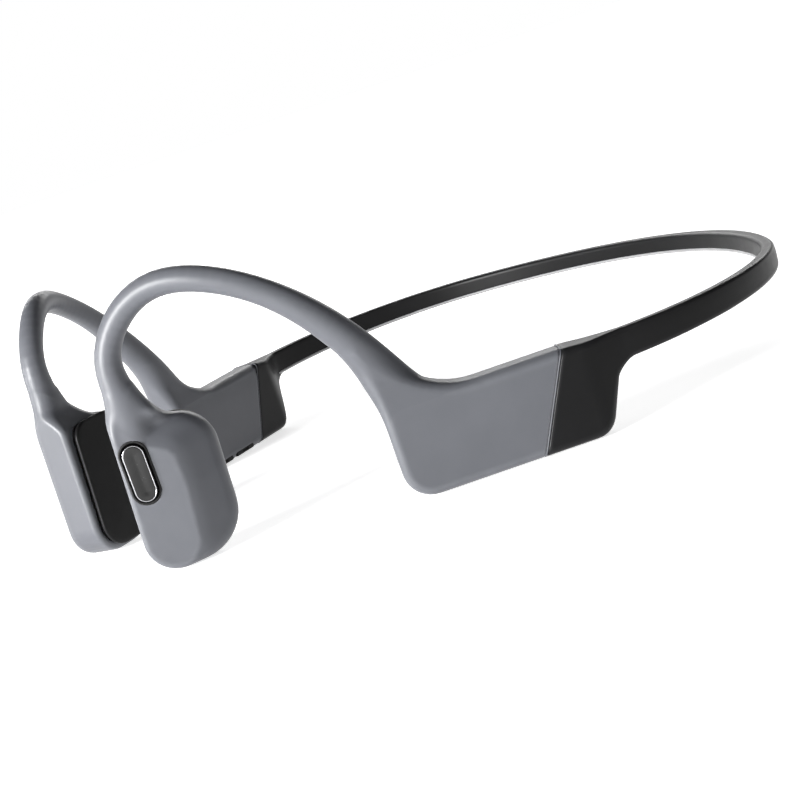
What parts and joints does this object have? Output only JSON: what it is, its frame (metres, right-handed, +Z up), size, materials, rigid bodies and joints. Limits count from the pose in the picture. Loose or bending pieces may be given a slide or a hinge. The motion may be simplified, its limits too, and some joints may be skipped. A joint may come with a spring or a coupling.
{
  "type": "bone conduction headphones",
  "caption": "Wraparound bone conduction headphones: a slim rear band, ear housings with over-ear hooks, and transducer pods that rest on the cheekbones.",
  "frame": {"origin": "on the table under the middle of the headphones' outline, where the pods and housings rest", "axes": "+Z up, +X towards the wearer's left, the face looks along -Y and the band runs round behind the head at +Y"},
  "size_m": [0.1292, 0.1304, 0.0462],
  "materials": {
    "black_silicone": "satin soft touch",
    "grey_silicone": "matte soft touch",
    "sprung_wire": "satin",
    "cable_jacket": "matte",
    "pad_silicone": "matte",
    "driver_steel": "satin",
    "magnet_plating": "bright",
    "copper_coil": "satin",
    "driver_plastic": "matte",
    "button_gloss": "gloss",
    "volume_rubber": "matte",
    "switch_metal": "satin",
    "battery_foil": "satin",
    "circuit_board": "satin",
    "chip_plastic": "matte",
    "gold_contact": "bright"
  },
  "bodies": {
    "band_rear": {"rear_band_cable": "cable_jacket", "rear_band_sleeve": "black_silicone", "rear_band_wire": "sprung_wire"},
    "left_arm": {"left_band_cable": "cable_jacket", "left_band_sleeve": "black_silicone", "left_band_wire": "sprung_wire", "left_boot": "black_silicone", "left_driver_cup": "driver_steel", "left_driver_frame": "driver_plastic", "left_driver_leaf": "driver_steel", "left_driver_magnet": "magnet_plating", "left_driver_top_plate": "driver_steel", "left_ear_housing": "grey_silicone", "left_hook_cable": "cable_jacket", "left_hook_sleeve": "grey_silicone", "left_hook_wire": "sprung_wire", "left_pod_shell": "grey_silicone", "battery": "battery_foil", "battery_board": "circuit_board", "multifunction_switch": "switch_metal", "button_board": "circuit_board", "microphone": "switch_metal"},
    "right_arm": {"right_band_cable": "cable_jacket", "right_band_sleeve": "black_silicone", "right_band_wire": "sprung_wire", "right_boot": "black_silicone", "right_driver_cup": "driver_steel", "right_driver_frame": "driver_plastic", "right_driver_leaf": "driver_steel", "right_driver_magnet": "magnet_plating", "right_driver_top_plate": "driver_steel", "right_ear_housing": "grey_silicone", "right_hook_cable": "cable_jacket", "right_hook_sleeve": "grey_silicone", "right_hook_wire": "sprung_wire", "right_pod_shell": "grey_silicone", "main_board": "circuit_board", "processor": "chip_plastic", "volume_board": "circuit_board", "volume_up_switch": "switch_metal", "volume_down_switch": "switch_metal", "charging_contacts": "gold_contact"},
    "left_pad": {"left_transducer_pad": "pad_silicone", "left_voice_coil": "copper_coil"},
    "right_pad": {"right_transducer_pad": "pad_silicone", "right_voice_coil": "copper_coil"},
    "multifunction": {"multifunction_button": "button_gloss"},
    "volume_up": {"volume_up_button": "volume_rubber"},
    "volume_down": {"volume_down_button": "volume_rubber"}
  },
  "joints": [
    {"name": "left_arm_flex", "type": "hinge", "parent": "band_rear", "child": "left_arm", "pos_m": [0.05221, 0.04477, 0.0134], "axis": [0, 0, 1], "range_deg": [-5, 28], "stiffness_Nm_per_rad": 0.3},
    {"name": "right_arm_flex", "type": "hinge", "parent": "band_rear", "child": "right_arm", "pos_m": [-0.05221, 0.04477, 0.0134], "axis": [0, 0, -1], "range_deg": [-5, 28], "stiffness_Nm_per_rad": 0.3},
    {"name": "left_pad_vibration", "type": "slide", "parent": "left_arm", "child": "left_pad", "axis": [0.8813, -0.4726, 0], "range_m": [-0.00015, 0.0002], "stiffness_N_per_m": 8000},
    {"name": "right_pad_vibration", "type": "slide", "parent": "right_arm", "child": "right_pad", "axis": [-0.8813, -0.4726, 0], "range_m": [-0.00015, 0.0002], "stiffness_N_per_m": 8000},
    {"name": "multifunction_press", "type": "slide", "parent": "left_arm", "child": "multifunction", "axis": [-0.8813, 0.4726, 0], "range_m": [0, 0.0004], "stiffness_N_per_m": 4000},
    {"name": "volume_up_press", "type": "slide", "parent": "right_arm", "child": "volume_up", "axis": [0, 0, 1], "range_m": [0, 0.0004], "stiffness_N_per_m": 4000},
    {"name": "volume_down_press", "type": "slide", "parent": "right_arm", "child": "volume_down", "axis": [0, 0, 1], "range_m": [0, 0.0004], "stiffness_N_per_m": 4000}
  ]
}
